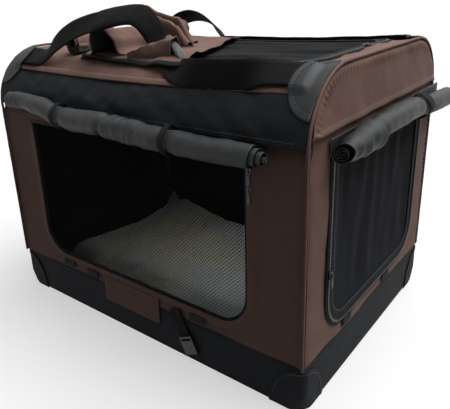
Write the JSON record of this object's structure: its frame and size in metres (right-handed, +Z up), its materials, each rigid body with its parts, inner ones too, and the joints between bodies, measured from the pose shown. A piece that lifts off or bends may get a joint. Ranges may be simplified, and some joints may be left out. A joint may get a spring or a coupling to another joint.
{
  "type": "soft dog crate",
  "caption": "Soft-sided folding dog crate: black base tub, brown cloth walls on folding steel hoops, zipped mesh doors at the front, ends and top, rolled curtains, webbing handles.",
  "frame": {"origin": "middle of the base tub's flat underside", "axes": "+Z up; +X along the length, from the end with the rolled top flap to the other end; -Y faces out of the long front with the large door"},
  "size_m": [0.7878, 0.5492, 0.6016],
  "materials": {
    "black_cloth": "coated woven polyester, matt",
    "brown_cloth": "coated woven polyester, matt",
    "grey_lining": "coated cloth, slightly shiny",
    "black_mesh": "woven polyester mesh",
    "black_webbing": "ribbed webbing",
    "fleece": "short pile",
    "coated_steel": "powder coated",
    "zinc": "plated",
    "black_plastic": "moulded"
  },
  "bodies": {
    "root": {"base_tub": "black_cloth", "front_shoulder_band": "black_cloth", "back_shoulder_band": "black_cloth", "corner_patch_left_back": "black_cloth", "corner_patch_left_front": "black_cloth", "corner_patch_right_back": "black_cloth", "corner_patch_right_front": "black_cloth", "front_door_zip_tape": "black_cloth", "right_door_zip_tape": "black_cloth", "left_door_zip_tape": "black_cloth", "top_door_zip_tape": "black_cloth", "front_curtain_tie_left": "black_cloth", "front_curtain_tie_right": "black_cloth", "right_curtain_tie": "black_cloth", "left_curtain_tie": "black_cloth", "front_wall": "brown_cloth", "back_wall": "brown_cloth", "right_wall": "brown_cloth", "left_wall": "brown_cloth", "top_cover": "brown_cloth", "right_piping": "brown_cloth", "left_piping": "brown_cloth", "front_patch": "brown_cloth", "front_curtain_roll": "grey_lining", "right_curtain_roll": "grey_lining", "left_curtain_roll": "grey_lining", "top_flap_roll": "grey_lining", "cushion": "fleece", "base_tube_left": "coated_steel", "base_tube_right": "coated_steel", "front_frame_sleeve": "coated_steel", "back_frame_sleeve": "coated_steel", "right_front_bracket": "coated_steel", "right_back_bracket": "coated_steel", "left_front_bracket": "coated_steel", "left_back_bracket": "coated_steel", "right_front_rivet": "zinc", "right_back_rivet": "zinc", "left_front_rivet": "zinc", "left_back_rivet": "zinc"},
    "right_hoop": {"right_hoop": "coated_steel"},
    "left_hoop": {"left_hoop": "coated_steel"},
    "front_door": {"front_door": "black_mesh"},
    "right_door": {"right_door": "black_mesh"},
    "left_door": {"left_door": "black_mesh"},
    "top_door": {"top_door": "black_mesh"},
    "front_zip_lower_slider": {"front_zip_lower_slider": "zinc"},
    "front_zip_upper_slider": {"front_zip_upper_slider": "zinc"},
    "right_zip_slider": {"right_zip_slider": "zinc"},
    "left_zip_slider": {"left_zip_slider": "zinc"},
    "top_zip_slider": {"top_zip_slider": "zinc"},
    "front_zip_lower_pull": {"front_zip_lower_pull": "zinc"},
    "front_zip_upper_pull": {"front_zip_upper_pull": "zinc"},
    "right_zip_pull": {"right_zip_pull": "zinc"},
    "left_zip_pull": {"left_zip_pull": "zinc"},
    "top_zip_pull": {"top_zip_pull": "zinc"},
    "front_handle": {"front_handle": "black_webbing"},
    "back_handle": {"back_handle": "black_webbing"},
    "closing_strap": {"closing_strap": "black_webbing", "buckle": "black_plastic"}
  },
  "joints": [
    {"name": "fold", "type": "hinge", "parent": "root", "child": "right_hoop", "pos_m": [0.335, 0, 0.0891], "axis": [0, -1, 0], "range_deg": [0, 90], "deforming": ["front_wall", "back_wall", "right_wall", "left_wall", "front_shoulder_band", "back_shoulder_band", "top_cover", "right_piping", "left_piping", "corner_patch_left_back", "corner_patch_left_front", "corner_patch_right_back", "corner_patch_right_front", "front_door", "right_door", "left_door", "top_door", "front_door_zip_tape", "right_door_zip_tape", "left_door_zip_tape", "top_door_zip_tape", "front_curtain_roll", "right_curtain_roll", "left_curtain_roll", "top_flap_roll", "front_curtain_tie_left", "front_curtain_tie_right", "right_curtain_tie", "left_curtain_tie", "front_handle", "back_handle", "cushion"]},
    {"name": "fold_left", "type": "hinge", "parent": "root", "child": "left_hoop", "pos_m": [-0.335, 0, 0.0421], "axis": [0, 1, 0], "range_deg": [0, 90]},
    {"name": "front_door_hinge", "type": "hinge", "parent": "root", "child": "front_door", "pos_m": [0, -0.25, 0.39], "axis": [1, 0, 0], "range_deg": [-85, 0]},
    {"name": "right_door_hinge", "type": "hinge", "parent": "root", "child": "right_door", "pos_m": [0.35, 0, 0.398], "axis": [0, 1, 0], "range_deg": [-85, 0]},
    {"name": "left_door_hinge", "type": "hinge", "parent": "root", "child": "left_door", "pos_m": [-0.35, 0, 0.398], "axis": [0, -1, 0], "range_deg": [-85, 0]},
    {"name": "top_door_hinge", "type": "hinge", "parent": "root", "child": "top_door", "pos_m": [-0.172, 0, 0.52], "axis": [0, 1, 0], "range_deg": [-90, 0]},
    {"name": "front_zip_lower_slide", "type": "slide", "parent": "root", "child": "front_zip_lower_slider", "axis": [0, 0, 1], "range_m": [-0.175, 0]},
    {"name": "front_zip_upper_slide", "type": "slide", "parent": "root", "child": "front_zip_upper_slider", "axis": [0, 0, 1], "range_m": [-0.175, 0]},
    {"name": "right_zip_slide", "type": "slide", "parent": "root", "child": "right_zip_slider", "axis": [0, 0, 1], "range_m": [-0.035, 0.165]},
    {"name": "left_zip_slide", "type": "slide", "parent": "root", "child": "left_zip_slider", "axis": [0, 0, 1], "range_m": [-0.035, 0.165]},
    {"name": "top_zip_slide", "type": "slide", "parent": "root", "child": "top_zip_slider", "axis": [0, 1, 0], "range_m": [-0.13, 0.07]},
    {"name": "front_zip_lower_pull_hinge", "type": "hinge", "parent": "front_zip_lower_slider", "child": "front_zip_lower_pull", "pos_m": [0.2575, -0.2555, 0.352], "axis": [1, 0, 0], "range_deg": [-150, 0]},
    {"name": "front_zip_upper_pull_hinge", "type": "hinge", "parent": "front_zip_upper_slider", "child": "front_zip_upper_pull", "pos_m": [0.2575, -0.2555, 0.38], "axis": [1, 0, 0], "range_deg": [-150, 0]},
    {"name": "right_zip_pull_hinge", "type": "hinge", "parent": "right_zip_slider", "child": "right_zip_pull", "pos_m": [0.3555, -0.1835, 0.215], "axis": [0, 1, 0], "range_deg": [-150, 0]},
    {"name": "left_zip_pull_hinge", "type": "hinge", "parent": "left_zip_slider", "child": "left_zip_pull", "pos_m": [-0.3555, 0.1835, 0.215], "axis": [0, -1, 0], "range_deg": [-150, 0]},
    {"name": "top_zip_pull_hinge", "type": "hinge", "parent": "top_zip_slider", "child": "top_zip_pull", "pos_m": [0.3025, 0.03, 0.5255], "axis": [1, 0, 0], "range_deg": [-150, 0]},
    {"name": "front_handle_hinge", "type": "hinge", "parent": "root", "child": "front_handle", "pos_m": [0, -0.21837, 0.49732], "axis": [-1, 0, 0], "range_deg": [-110, 0]},
    {"name": "back_handle_hinge", "type": "hinge", "parent": "root", "child": "back_handle", "pos_m": [0, 0.21837, 0.49732], "axis": [1, 0, 0], "range_deg": [-110, 0]},
    {"name": "closing_strap_hinge", "type": "hinge", "parent": "root", "child": "closing_strap", "pos_m": [0.098, -0.2503, 0.09644], "axis": [0.8988, 0, 0.4384], "range_deg": [-120, 0]}
  ],
  "couplings": [
    {"joint": "fold_left", "follows": "fold", "ratio": 1},
    {"joint": "front_zip_upper_slide", "follows": "front_zip_lower_slide", "ratio": 1}
  ]
}
